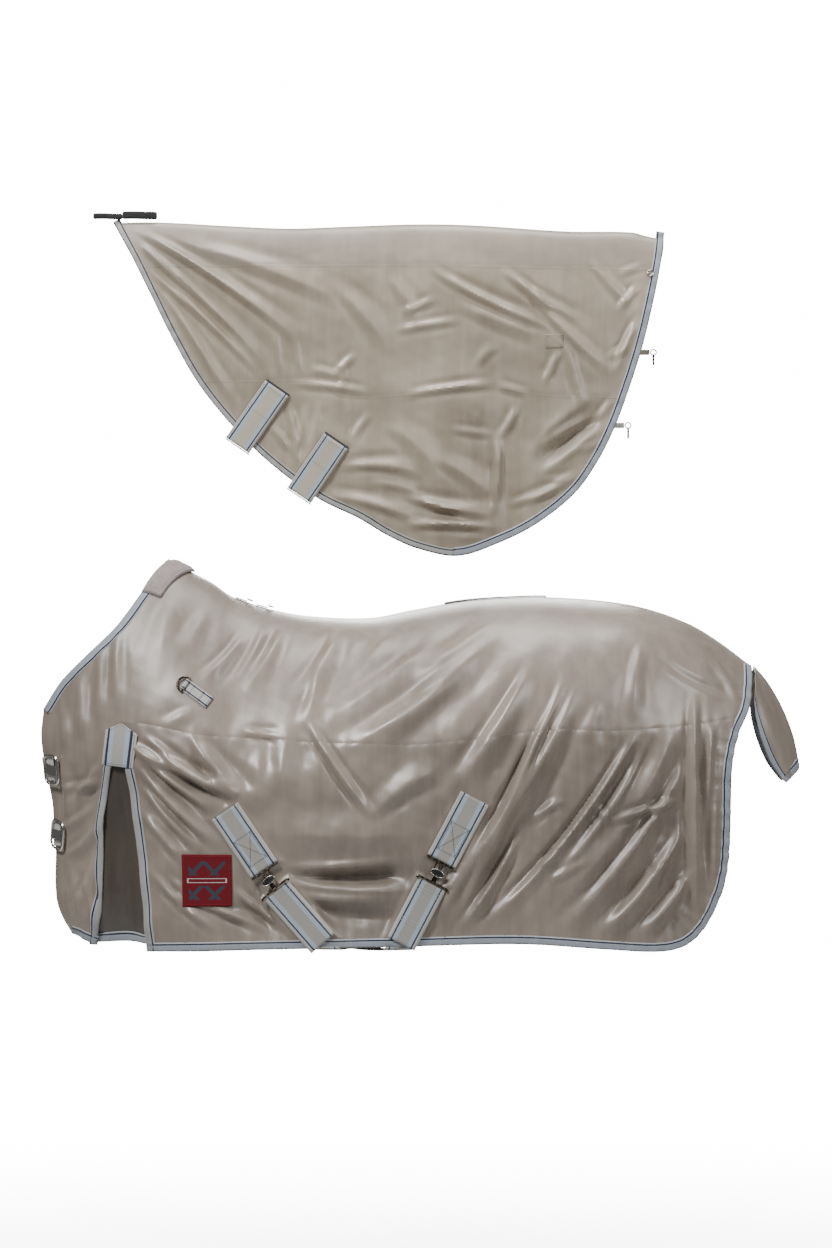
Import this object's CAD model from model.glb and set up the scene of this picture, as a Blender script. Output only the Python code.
import math
import bpy
import bmesh
import numpy as np
from mathutils import Matrix, Vector


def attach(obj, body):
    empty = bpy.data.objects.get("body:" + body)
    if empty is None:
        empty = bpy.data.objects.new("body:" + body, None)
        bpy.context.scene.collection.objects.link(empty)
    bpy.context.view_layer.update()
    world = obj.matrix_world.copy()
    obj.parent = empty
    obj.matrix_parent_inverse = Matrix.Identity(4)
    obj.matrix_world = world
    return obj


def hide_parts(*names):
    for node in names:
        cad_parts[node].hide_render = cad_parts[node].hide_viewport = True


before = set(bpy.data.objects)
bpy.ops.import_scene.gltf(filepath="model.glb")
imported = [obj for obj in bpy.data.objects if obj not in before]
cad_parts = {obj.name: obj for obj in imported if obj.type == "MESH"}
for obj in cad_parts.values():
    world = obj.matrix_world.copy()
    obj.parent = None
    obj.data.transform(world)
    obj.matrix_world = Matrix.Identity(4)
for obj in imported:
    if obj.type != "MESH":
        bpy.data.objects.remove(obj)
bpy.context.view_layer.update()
mm = 0.001  # the shape tables below are in millimetres


# ---- curves and cloth forms ----
def smooth(points, at):
    xs, ys = (np.array(column, float) for column in zip(*points))
    slopes = np.empty_like(ys)
    slopes[1:-1] = (ys[2:] - ys[:-2]) / (xs[2:] - xs[:-2])
    slopes[0], slopes[-1] = (ys[1] - ys[0]) / (xs[1] - xs[0]), (ys[-1] - ys[-2]) / (xs[-1] - xs[-2])
    at = np.clip(np.asarray(at, float), xs[0], xs[-1])
    k = np.clip(np.searchsorted(xs, at, side="right") - 1, 0, len(xs) - 2)
    run = xs[k + 1] - xs[k]
    f = (at - xs[k]) / run
    return (ys[k] * (1 + 2 * f) * (1 - f) ** 2 + ys[k + 1] * f * f * (3 - 2 * f)
            + run * (slopes[k] * f * (1 - f) ** 2 - slopes[k + 1] * f * f * (1 - f)))


def along(points, count):
    pts = np.array(points, float)
    steps = np.r_[0, np.cumsum(np.linalg.norm(np.diff(pts, axis=0), axis=1))]
    at = np.linspace(0, steps[-1], count)
    return np.stack([smooth(list(zip(steps, pts[:, i])), at) for i in range(pts.shape[1])], axis=1)


def sideways(line, distance):
    way = np.gradient(line, axis=0)
    way /= np.linalg.norm(way, axis=1)[:, None]
    return line + np.stack([way[:, 1], -way[:, 0]], axis=1) * distance


class ClothForm:
    def __init__(self, ridge, half, depth, peak, begin=None, front=None, nose=1.5):
        self.ridge, self.half, self.depth, self.peak = ridge, half, depth, peak
        self.begin, self.front, self.nose = begin, front, nose
        self.relief = None

    def width(self, x, z):
        deep, peak = smooth(self.depth, x), smooth(self.peak, x)
        drop = np.clip((smooth(self.ridge, x) - z) / deep, 0, 1)
        wide = smooth(self.half, x) * (1 - (1 - drop) ** peak) ** (1 / peak)
        if self.front:
            reach = self.begin - smooth([(z0, x0) for z0, x0 in self.front], z)
            share = np.clip((self.begin - x) / reach, 0, 1)
            wide = wide * (1 - share ** self.nose) ** (1 / self.nose)
        return wide

    def out(self, x, z, step=2.5):
        slopeX = (self.width(x + step, z) - self.width(x - step, z)) / (2 * step)
        slopeZ = (self.width(x, z + step) - self.width(x, z - step)) / (2 * step)
        n = np.stack([-slopeX, -np.ones_like(slopeX), -slopeZ], axis=-1)
        return n / np.linalg.norm(n, axis=-1)[..., None]

    def place(self, x, z, lift=0.0, folds=True):
        x, z = np.asarray(x, float), np.asarray(z, float)
        n = self.out(x, z)
        rise = lift + (self.relief(x, z) if folds and self.relief else 0.0)
        spot = np.stack([x, -self.width(x, z), z], axis=-1) + n * np.asarray(rise)[..., None]
        return spot, n


bodyForm = ClothForm(
    ridge=((-340, 24), (-100, 20), (-44, 7), (0, -15), (40, -36), (80, -64), (126, -81), (162, -92),
           (246, -107), (378, -111), (464, -95), (578, -75), (704, -67), (758, -67), (874, -75),
           (964, -91), (1054, -123), (1115, -159), (1184, -211), (1215, -236)),
    half=((-340, 238), (60, 238), (200, 256), (420, 268), (700, 262), (860, 254), (960, 238),
          (1050, 208), (1130, 172), (1215, 128)),
    depth=((-340, 430), (60, 430), (300, 380), (700, 320), (1000, 300), (1215, 260)),
    peak=((-340, 1.5), (60, 1.5), (250, 1.7), (500, 2.0), (900, 2.2), (1215, 2.2)),
    front=((-860, -232), (-785, -252), (-745, -276), (-700, -288), (-600, -290), (-500, -298),
           (-430, -312), (-360, -321), (-300, -316), (40, -314)),
    begin=60)
neckForm = ClothForm(
    ridge=((-190, 729), (-74, 731), (84, 723), (204, 718), (323, 722), (475, 727), (594, 725),
           (794, 712), (932, 710), (965, 702), (1020, 690)),
    half=((-190, 22), (0, 34), (300, 40), (800, 40), (1020, 36)),
    depth=((-190, 150), (1020, 210)),
    peak=((-190, 2.0), (1020, 2.0)))

neckline = ((-44, 28), (-72, -8), (-109, -60), (-158, -126), (-218, -185), (-276, -243),
            (-312, -296), (-345, -345))
hemLine = ((-330, -752), (-292, -765), (-245, -783), (-199, -801), (-88, -810), (200, -803),
           (450, -797), (693, -792), (880, -804), (985, -809), (1040, -797), (1080, -762),
           (1112, -702), (1130, -638), (1136, -548), (1139, -428), (1155, -352), (1176, -306),
           (1185, -262), (1188, -208))
seamLine = ((-360, -322), (-109, -331), (23, -355), (120, -361), (271, -370), (464, -374),
            (609, -362), (771, -342), (874, -346), (1048, -334), (1230, -306))
slitFront = ((-850, -204), (-801, -200), (-699, -189), (-609, -185), (-524, -181), (-424, -166), (-372, -146))
slitRear = ((-850, -87), (-811, -90), (-729, -98), (-609, -109), (-519, -121), (-424, -137), (-372, -146))
neckEdge = ((-176, 744), (-170, 733), (-128, 657), (-86, 572), (-44, 487), (10, 392), (78, 306),
            (160, 224), (265, 146), (355, 102), (415, 66), (480, 38), (565, 23), (655, 52),
            (735, 93), (813, 156), (861, 223), (897, 295), (926, 372), (957, 470), (984, 584),
            (998, 660), (1004, 712))


# ---- small mesh helpers ----
def meshPiece(name, verts, faces, uvs=None, smoothFaces=True):
    mesh = bpy.data.meshes.new(name)
    mesh.from_pydata([tuple(v) for v in verts], [], [tuple(f) for f in faces])
    if uvs is not None:
        layer = mesh.uv_layers.new(name="Surface")
        index = np.empty(len(mesh.loops), np.int32)
        mesh.loops.foreach_get("vertex_index", index)
        layer.data.foreach_set("uv", np.asarray(uvs, np.float32)[index].ravel())
    if smoothFaces:
        mesh.shade_smooth()
    piece = bpy.data.objects.new(name, mesh)
    bpy.context.scene.collection.objects.link(piece)
    return piece


def gridFaces(rows, columns, flip=False, offset=0, wrap=False):
    i, j = np.meshgrid(np.arange(rows - 1), np.arange(columns if wrap else columns - 1), indexing="ij")
    j2 = (j + 1) % columns
    quad = np.stack([i * columns + j, i * columns + j2, (i + 1) * columns + j2, (i + 1) * columns + j], -1)
    quad = quad.reshape(-1, 4) + offset
    return quad[:, ::-1] if flip else quad


def applyModifiers(piece):
    done = bpy.data.meshes.new_from_object(piece.evaluated_get(bpy.context.evaluated_depsgraph_get()))
    old = piece.data
    piece.modifiers.clear()
    piece.data = done
    bpy.data.meshes.remove(old)
    return piece


def slabPiece(name, grid, normals, thick, uvs, crown=0.0):
    rows, columns = grid.shape[:2]
    rise = np.zeros((rows, columns))
    if crown:
        v = np.linspace(-1, 1, columns)
        rise += crown * (1 - v ** 4)[None, :]
    top = grid + normals * (thick + rise)[..., None]
    verts = np.concatenate([top.reshape(-1, 3), grid.reshape(-1, 3)])
    count = rows * columns
    faces = [gridFaces(rows, columns), gridFaces(rows, columns, True, count)]
    ring = ([j for j in range(columns)] + [i * columns + columns - 1 for i in range(1, rows)]
            + [(rows - 1) * columns + j for j in range(columns - 2, -1, -1)]
            + [i * columns for i in range(rows - 2, 0, -1)])
    rim = [(a, a + count, b + count, b) for a, b in zip(ring, ring[1:] + ring[:1])]
    faces = np.concatenate(faces + [np.array(rim)])
    piece = meshPiece(name, verts * mm, faces, np.concatenate([uvs.reshape(-1, 2)] * 2))
    return fixNormals(piece)


def fixNormals(piece):
    work = bmesh.new()
    work.from_mesh(piece.data)
    bmesh.ops.recalc_face_normals(work, faces=work.faces)
    work.to_mesh(piece.data)
    work.free()
    return piece


def mirrored(piece, name):
    other = bpy.data.objects.new(name, piece.data.copy())
    bpy.context.scene.collection.objects.link(other)
    other.data.transform(Matrix.Scale(-1, 4, (0, 1, 0)))
    other.data.flip_normals()
    return other


def finishPiece(piece, body, slotName, material, *nodes):
    piece.data.materials.clear()
    piece.data.materials.append(material)
    if nodes:
        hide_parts(*nodes)
    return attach(piece, body) if body else piece


# ---- shader maths ----
class Wire:
    def __init__(self, tree, socket):
        self.tree, self.socket = tree, socket

    def node(self, kind, inputs=(), output=0, **settings):
        made = self.tree.nodes.new(kind)
        stops = settings.pop("stops", None)
        for key, value in settings.items():
            setattr(made, key, value)
        if stops:
            ramp = made.color_ramp
            while len(ramp.elements) < len(stops):
                ramp.elements.new(0.5)
            for element, (at, colour) in zip(ramp.elements, stops):
                element.position = at
                element.color = (*colour, 1)
        for key, value in dict(inputs).items():
            if isinstance(value, Wire):
                self.tree.links.new(value.socket, made.inputs[key])
            else:
                made.inputs[key].default_value = value
        return Wire(self.tree, made.outputs[output])

    def maths(self, operation, a, b=0.0):
        return self.node("ShaderNodeMath", {0: a, 1: b}, operation=operation)

    def __add__(self, other): return self.maths("ADD", self, other)
    def __radd__(self, other): return self.maths("ADD", other, self)
    def __sub__(self, other): return self.maths("SUBTRACT", self, other)
    def __rsub__(self, other): return self.maths("SUBTRACT", other, self)
    def __mul__(self, other): return self.maths("MULTIPLY", self, other)
    def __rmul__(self, other): return self.maths("MULTIPLY", other, self)
    def __truediv__(self, other): return self.maths("DIVIDE", self, other)
    def __gt__(self, other): return self.maths("GREATER_THAN", self, other)
    def __lt__(self, other): return self.maths("LESS_THAN", self, other)
    def power(self, other): return self.maths("POWER", self, other)
    def sine(self): return self.maths("SINE", self)
    def absolute(self): return self.maths("ABSOLUTE", self)
    def clamped(self): return self.maths("MINIMUM", self, 1.0)
    def between(self, low, high): return (self > low) * (self < high)

    def ease(self, low, high):
        return self.node("ShaderNodeMapRange", {0: self, 1: low, 2: high}, interpolation_type="SMOOTHSTEP")

    def blend(self, first, second):
        return self.node("ShaderNodeMix", {0: self, 6: first, 7: second}, output=2, data_type="RGBA")


def finish(name, **fixed):
    material = bpy.data.materials.new(name)
    material.use_nodes = True
    shader = material.node_tree.nodes["Principled BSDF"]
    for key, value in fixed.items():
        shader.inputs[key.replace("_", " ")].default_value = value
    start = Wire(material.node_tree, None)
    where = start.node("ShaderNodeTexCoord", output=3)
    return material, shader, start, where


def connect(shader, **wires):
    for key, wire in wires.items():
        wire.tree.links.new(wire.socket, shader.inputs[key.replace("_", " ")])


def bump(start, height, strength, distance=0.001):
    return start.node("ShaderNodeBump", {"Strength": strength, "Distance": distance, "Height": height})


def noiseOf(start, where, scale, detail=3.0, rough=0.5, stretch=None):
    if stretch:
        where = start.node("ShaderNodeMapping", {"Vector": where, "Scale": stretch})
    return start.node("ShaderNodeTexNoise", {"Vector": where, "Scale": scale, "Detail": detail, "Roughness": rough})


def rgba(r, g, b): return (r, g, b, 1.0)


# ---- materials ----
def satinFinish(name, base, dark, pale, sheenTone, thin=0.0, bandAbove=None):
    material, shader, start, where = finish(
        name, Sheen_Weight=0.25, Sheen_Roughness=0.35, Specular_IOR_Level=0.75, Anisotropic=0.35)
    shader.inputs["Sheen Tint"].default_value = sheenTone
    broad = noiseOf(start, where, 2.6, 4, 0.55, (1.0, 1.0, 0.6)).ease(0.35, 0.68)
    streak = noiseOf(start, where, 38.0, 3, 0.6, (1.0, 1.0, 0.12)).ease(0.3, 0.75)
    colour = broad.blend(base, dark)
    colour = (streak * 0.22).blend(colour, pale)
    if bandAbove:  # height where a greyer band begins, its strength and its tone
        height = start.node("ShaderNodeSeparateXYZ", {0: where}, output=2)
        colour = ((height > bandAbove[0]) * bandAbove[1]).blend(colour, bandAbove[2])
    warp = start.node("ShaderNodeTexWave", {"Vector": where, "Scale": 520.0, "Distortion": 0.6},
                      output=1, bands_direction="X")
    weft = start.node("ShaderNodeTexWave", {"Vector": where, "Scale": 470.0, "Distortion": 0.6},
                      output=1, bands_direction="Z")
    crinkle = noiseOf(start, where, 55.0, 5, 0.62, (1.0, 1.0, 0.7))
    fine = bump(start, warp * 0.3 + weft * 0.3, 0.10, 0.0004)
    soft = fine.node("ShaderNodeBump", {"Strength": 0.10, "Distance": 0.004, "Height": crinkle, "Normal": fine})
    rough = 0.30 + broad * 0.10 + streak * 0.06
    connect(shader, Base_Color=colour, Roughness=rough, Normal=soft)
    if thin:
        veil = noiseOf(start, where, 5.5, 2, 0.5).ease(0.42, 0.62)
        connect(shader, Alpha=1.0 - veil * thin)
    return material


def stripedFinish(name, bands, rib=900.0):
    # bands: (share of the width where it starts, colour), in order across the tape
    material, shader, start, where = finish(name, Roughness=0.78, Sheen_Weight=0.2, Specular_IOR_Level=0.3)
    flat = start.node("ShaderNodeUVMap", uv_map="Surface")
    parts = start.node("ShaderNodeSeparateXYZ", {0: flat})
    across = start.node("ShaderNodeSeparateXYZ", {0: flat}, output=1)
    colour = start.node("ShaderNodeRGB")
    colour.socket.default_value = bands[0][1]
    wobble = noiseOf(start, where, 90.0, 2) * 0.016 - 0.008
    for begin, tone in bands[1:]:
        colour = (across + wobble).ease(begin - 0.008, begin + 0.008).blend(colour, tone)
    fleck = noiseOf(start, where, 700.0, 2).ease(0.35, 0.7)
    dust = noiseOf(start, where, 14.0, 4).ease(0.45, 0.75)
    colour = (fleck * 0.30).blend(colour, start.node("ShaderNodeHueSaturation",
                                                     {"Value": 0.55, "Saturation": 1.0, "Color": colour}))
    colour = (dust * 0.16).blend(colour, rgba(0.30, 0.28, 0.25))
    ribs = (parts * (rib * 2 * math.pi)).sine() * 0.5 + 0.5
    cords = (across * (34 * 2 * math.pi)).sine() * 0.5 + 0.5
    connect(shader, Base_Color=colour, Normal=bump(start, ribs * 0.7 + cords * 0.5, 0.35, 0.0006))
    return material


def metalFinish(name, tone, worn, rough, metallic=1.0):
    material, shader, start, where = finish(name, Metallic=metallic)
    patch = noiseOf(start, where, 160.0, 4).ease(0.45, 0.7)
    scratch = noiseOf(start, where, 900.0, 2, 0.5, (1.0, 0.1, 1.0)).ease(0.5, 0.8)
    colour = (patch * 0.5 + scratch * 0.2).blend(tone, worn)
    connect(shader, Base_Color=colour, Roughness=rough + patch * 0.14 + scratch * 0.1,
            Normal=bump(start, scratch, 0.08, 0.0003))
    return material


def fuzzyFinish(name, tone, pale, scale, strength):
    material, shader, start, where = finish(name, Roughness=0.92, Sheen_Weight=0.5, Sheen_Roughness=0.5,
                                            Specular_IOR_Level=0.15)
    tuft = noiseOf(start, where, scale, 4, 0.7)
    soft = noiseOf(start, where, scale * 0.12, 3)
    colour = (tuft.ease(0.35, 0.7) * 0.6 + soft.ease(0.4, 0.7) * 0.25).blend(tone, pale)
    connect(shader, Base_Color=colour, Normal=bump(start, tuft, strength, 0.002))
    return material


def threadFinish(name, tone):
    material, shader, start, where = finish(name, Roughness=0.65, Specular_IOR_Level=0.3)
    twist = noiseOf(start, where, 1500.0, 2).ease(0.3, 0.7)
    connect(shader, Base_Color=(twist * 0.4).blend(tone, tuple(c * 0.6 for c in tone[:3]) + (1.0,)))
    return material


def labelFinish(name):
    material, shader, start, where = finish(name, Roughness=0.8, Sheen_Weight=0.05, Specular_IOR_Level=0.2)
    flat = start.node("ShaderNodeUVMap", uv_map="Surface")
    u = start.node("ShaderNodeSeparateXYZ", {0: flat})
    v = start.node("ShaderNodeSeparateXYZ", {0: flat}, output=1)
    red, teal = rgba(0.145, 0.007, 0.013), rgba(0.022, 0.062, 0.085)
    inside = u.between(0.13, 0.87) * v.between(0.13, 0.87)
    slope = ((u + v) * (2 * math.pi * 1.15)).sine()
    counter = ((u - v) * (2 * math.pi * 1.15)).sine()
    lozenge = ((slope.absolute() < 0.36) + (counter.absolute() < 0.36)).clamped()
    bar = v.between(0.455, 0.545) * u.between(0.1, 0.9)
    colour = (inside * lozenge * (1 - v.between(0.40, 0.60)) * 0.9).blend(red, teal)
    colour = (bar * (1 - v.between(0.47, 0.53) * u.between(0.13, 0.87))).blend(colour, rgba(0.55, 0.52, 0.50))
    fleck = noiseOf(start, where, 900.0, 2).ease(0.35, 0.7)
    colour = (fleck * 0.35).blend(colour, rgba(0.09, 0.005, 0.009))
    threads = (v * (150 * 2 * math.pi)).sine() * 0.5 + (u * (150 * 2 * math.pi)).sine() * 0.5
    connect(shader, Base_Color=colour, Normal=bump(start, threads, 0.25, 0.0004))
    return material


greyEdge, navyLine, skyBand, taupeBand = (rgba(0.50, 0.50, 0.48), rgba(0.018, 0.024, 0.055),
                                          rgba(0.40, 0.48, 0.56), rgba(0.36, 0.345, 0.315))
webBands = ((0.0, greyEdge), (0.115, navyLine), (0.165, skyBand), (0.30, taupeBand), (0.70, skyBand),
            (0.835, navyLine), (0.885, greyEdge))
throatBands = ((0.0, greyEdge), (0.10, navyLine), (0.15, skyBand), (0.27, rgba(0.48, 0.44, 0.36)),
               (0.73, skyBand), (0.85, navyLine), (0.90, greyEdge))
rimTone, tapeTone, tapeEdge = rgba(0.235, 0.235, 0.24), rgba(0.345, 0.385, 0.44), rgba(0.46, 0.485, 0.51)
tapeBands = ((0.0, rimTone), (0.14, tapeTone), (0.54, rgba(0.41, 0.45, 0.50)), (0.70, navyLine), (0.86, tapeEdge))
gussetBands = ((0.0, rgba(0.37, 0.375, 0.37)), (0.50, rgba(0.42, 0.45, 0.48)), (0.68, navyLine), (0.84, tapeEdge))
neckBands = ((0.0, rgba(0.06, 0.06, 0.065)), (0.13, rgba(0.40, 0.40, 0.39)), (0.50, rgba(0.46, 0.47, 0.47)),
             (0.66, rgba(0.05, 0.05, 0.055)), (0.84, rgba(0.36, 0.35, 0.33)))
shoulderBands = ((0.0, greyEdge), (0.10, navyLine), (0.22, rgba(0.50, 0.50, 0.48)), (0.78, navyLine),
                 (0.90, greyEdge))
satin = satinFinish("taupeSatin", rgba(0.30, 0.252, 0.208), rgba(0.215, 0.178, 0.146),
                    rgba(0.46, 0.40, 0.34), rgba(1.0, 0.93, 0.82))
lowerSatin = satinFinish("lowerSatin", rgba(0.262, 0.219, 0.181), rgba(0.155, 0.127, 0.104),
                         rgba(0.44, 0.38, 0.32), rgba(1.0, 0.93, 0.82))
neckSatin = satinFinish("neckSatin", rgba(0.42, 0.355, 0.27), rgba(0.285, 0.235, 0.175),
                        rgba(0.58, 0.51, 0.42), rgba(1.0, 0.93, 0.82), 0.12, (0.639, 0.5, rgba(0.34, 0.30, 0.255)))
lining = satinFinish("gussetLining", rgba(0.085, 0.070, 0.058), rgba(0.05, 0.042, 0.036),
                     rgba(0.16, 0.14, 0.12), rgba(0.9, 0.85, 0.8))
webbing = stripedFinish("stripedWebbing", webBands)
throatWebbing = stripedFinish("throatWebbing", throatBands)
bindingTape = stripedFinish("bindingTape", tapeBands, 700.0)
gussetTape = stripedFinish("gussetTape", gussetBands, 700.0)
neckTape = stripedFinish("neckTape", neckBands, 700.0)
shoulderWeb = stripedFinish("shoulderWebbing", shoulderBands)
ridgeWeb = stripedFinish("ridgeWebbing", ((0.0, rgba(0.25, 0.215, 0.18)), (0.10, rgba(0.32, 0.275, 0.23)),
                                          (0.90, rgba(0.25, 0.215, 0.18))))
plainWebbing = stripedFinish("plainWebbing", ((0.0, rgba(0.50, 0.48, 0.44)), (0.08, rgba(0.58, 0.56, 0.51)),
                                              (0.92, rgba(0.50, 0.48, 0.44))))
bronze = metalFinish("agedBronze", rgba(0.055, 0.045, 0.036), rgba(0.36, 0.31, 0.22), 0.24)
nickel = metalFinish("brightNickel", rgba(0.80, 0.78, 0.74), rgba(0.55, 0.53, 0.50), 0.16)
blackFitting = metalFinish("blackFitting", rgba(0.020, 0.020, 0.022), rgba(0.06, 0.06, 0.06), 0.38, 0.3)
hookTape = fuzzyFinish("hookTape", rgba(0.010, 0.010, 0.011), rgba(0.045, 0.045, 0.048), 900.0, 0.8)
plush = fuzzyFinish("padPlush", rgba(0.27, 0.225, 0.215), rgba(0.44, 0.385, 0.37), 420.0, 0.9)
navyThread = threadFinish("navyThread", rgba(0.02, 0.028, 0.07))
paleThread = threadFinish("paleThread", rgba(0.62, 0.62, 0.60))
taupeThread = threadFinish("taupeThread", rgba(0.22, 0.19, 0.155))
boxThread = threadFinish("boxThread", rgba(0.10, 0.095, 0.09))
redLabel = labelFinish("redLabel")
print("materials ready")


# ---- stitches: short thread bars set along lines by a node tree ----
def stitchTree():
    tree = bpy.data.node_groups.new("stitchLine", "GeometryNodeTree")
    face = tree.interface
    face.new_socket("Geometry", in_out="INPUT", socket_type="NodeSocketGeometry")
    for label in ("Pitch", "Length", "Thread"):
        face.new_socket(label, in_out="INPUT", socket_type="NodeSocketFloat")
    face.new_socket("Finish", in_out="INPUT", socket_type="NodeSocketMaterial")
    face.new_socket("Geometry", in_out="OUTPUT", socket_type="NodeSocketGeometry")
    add = tree.nodes.new
    given, result = add("NodeGroupInput"), add("NodeGroupOutput")
    route = add("GeometryNodeMeshToCurve")
    spaced = add("GeometryNodeResampleCurve")
    spaced.mode = "LENGTH"
    bar = add("GeometryNodeMeshUVSphere")
    bar.inputs["Segments"].default_value, bar.inputs["Rings"].default_value = 5, 4
    bar.inputs["Radius"].default_value = 0.5
    size = add("ShaderNodeCombineXYZ")
    form = add("GeometryNodeTransform")
    tangent = add("GeometryNodeInputTangent")
    aim = add("FunctionNodeAlignRotationToVector")
    aim.axis = "Z"
    copies = add("GeometryNodeInstanceOnPoints")
    real = add("GeometryNodeRealizeInstances")
    paint = add("GeometryNodeSetMaterial")
    link = tree.links.new
    link(given.outputs["Geometry"], route.inputs["Mesh"])
    link(route.outputs[0], spaced.inputs["Curve"])
    link(given.outputs["Pitch"], spaced.inputs["Length"])
    for axis, label in (("X", "Thread"), ("Y", "Thread"), ("Z", "Length")):
        link(given.outputs[label], size.inputs[axis])
    link(size.outputs[0], form.inputs["Scale"])
    link(bar.outputs[0], form.inputs["Geometry"])
    link(tangent.outputs[0], aim.inputs["Vector"])
    link(spaced.outputs[0], copies.inputs["Points"])
    link(form.outputs[0], copies.inputs["Instance"])
    link(aim.outputs[0], copies.inputs["Rotation"])
    link(copies.outputs[0], real.inputs[0])
    link(real.outputs[0], paint.inputs["Geometry"])
    link(given.outputs["Finish"], paint.inputs["Material"])
    link(paint.outputs[0], result.inputs[0])
    return tree


stitchNodes = stitchTree()
# pitch, stitch length and thread width, in metres
gauges = {"plain": (0.0062, 0.0046, 0.0013), "rim": (0.0045, 0.0034, 0.001), "box": (0.0038, 0.0031, 0.0016),
          "patch": (0.004, 0.0032, 0.0014), "tab": (0.0036, 0.0028, 0.0012), "square": (0.0036, 0.0028, 0.0009),
          "seam": (0.0045, 0.0033, 0.0008), "label": (0.0042, 0.0034, 0.0011)}


def stitches(name, lines, thread, body, gauge="plain"):
    pitch, length, wide = gauges[gauge]
    verts, edges = [], []
    for line in lines:
        base = len(verts)
        verts += [tuple(p) for p in np.asarray(line) * mm]
        edges += [(base + i, base + i + 1) for i in range(len(line) - 1)]
    mesh = bpy.data.meshes.new(name)
    mesh.from_pydata(verts, edges, [])
    piece = bpy.data.objects.new(name, mesh)
    bpy.context.scene.collection.objects.link(piece)
    setting = piece.modifiers.new("stitches", "NODES")
    setting.node_group = stitchNodes
    wanted = {"Pitch": pitch, "Length": length, "Thread": wide, "Finish": thread}
    for item in stitchNodes.interface.items_tree:
        if item.in_out == "INPUT" and item.name in wanted:
            setting[item.identifier] = wanted[item.name]
    applyModifiers(piece)
    piece.data.shade_smooth()
    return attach(piece, body)


# ---- folds of the body sheet, as heights over the plain form ----
tabPlaces = (((75, -514), (158, -636), 66), ((598, -486), (528, -618), 66), ((184, -679), (283, -797), 64),
             ((508, -666), (442, -797), 64), ((-10, -252), (41, -289), 34), ((38, -606), (38, -714), 100))


def nearStrap(x, z, places=tabPlaces, margin=16.0):
    near = np.zeros_like(x)
    for (ax, az), (bx, bz), wide in places:
        run = np.array([bx - ax, bz - az], float)
        long = np.linalg.norm(run)
        run /= long
        u = (x - ax) * run[0] + (z - az) * run[1]
        v = (x - ax) * -run[1] + (z - az) * run[0]
        gone = np.maximum(np.maximum(-u, u - long), np.abs(v) - wide / 2)
        near = np.maximum(near, 1 - np.clip(gone / margin, 0, 1))
    return near * near * (3 - 2 * near)


def ridgeLine(x, z, start, end, wide, high, bow=0.0, sharp=0.55):
    run = np.array([end[0] - start[0], end[1] - start[1]], float)
    long = np.linalg.norm(run)
    run /= long
    t = ((x - start[0]) * run[0] + (z - start[1]) * run[1]) / long
    s = (x - start[0]) * -run[1] + (z - start[1]) * run[0] - bow * 4 * t * (1 - t)
    span = wide * (0.55 + 0.45 * np.clip(t, 0, 1))
    side = np.where(s > 0, span, span * sharp)
    q = np.sqrt(s * s + 12) / np.maximum(side, 7)  # a crest is never sharper than a few millimetres
    body = np.exp(-q ** 1.35) - 0.38 * np.exp(-((q - 1.9) / 0.85) ** 2)
    begin, close = np.clip((t + 0.05) / 0.42, 0, 1), np.clip((1.05 - t) / 0.46, 0, 1)
    fade = begin * begin * (3 - 2 * begin) * close * close * (3 - 2 * close)
    return high * min(1.0, long / 190) ** 0.6 * body * fade


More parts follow.
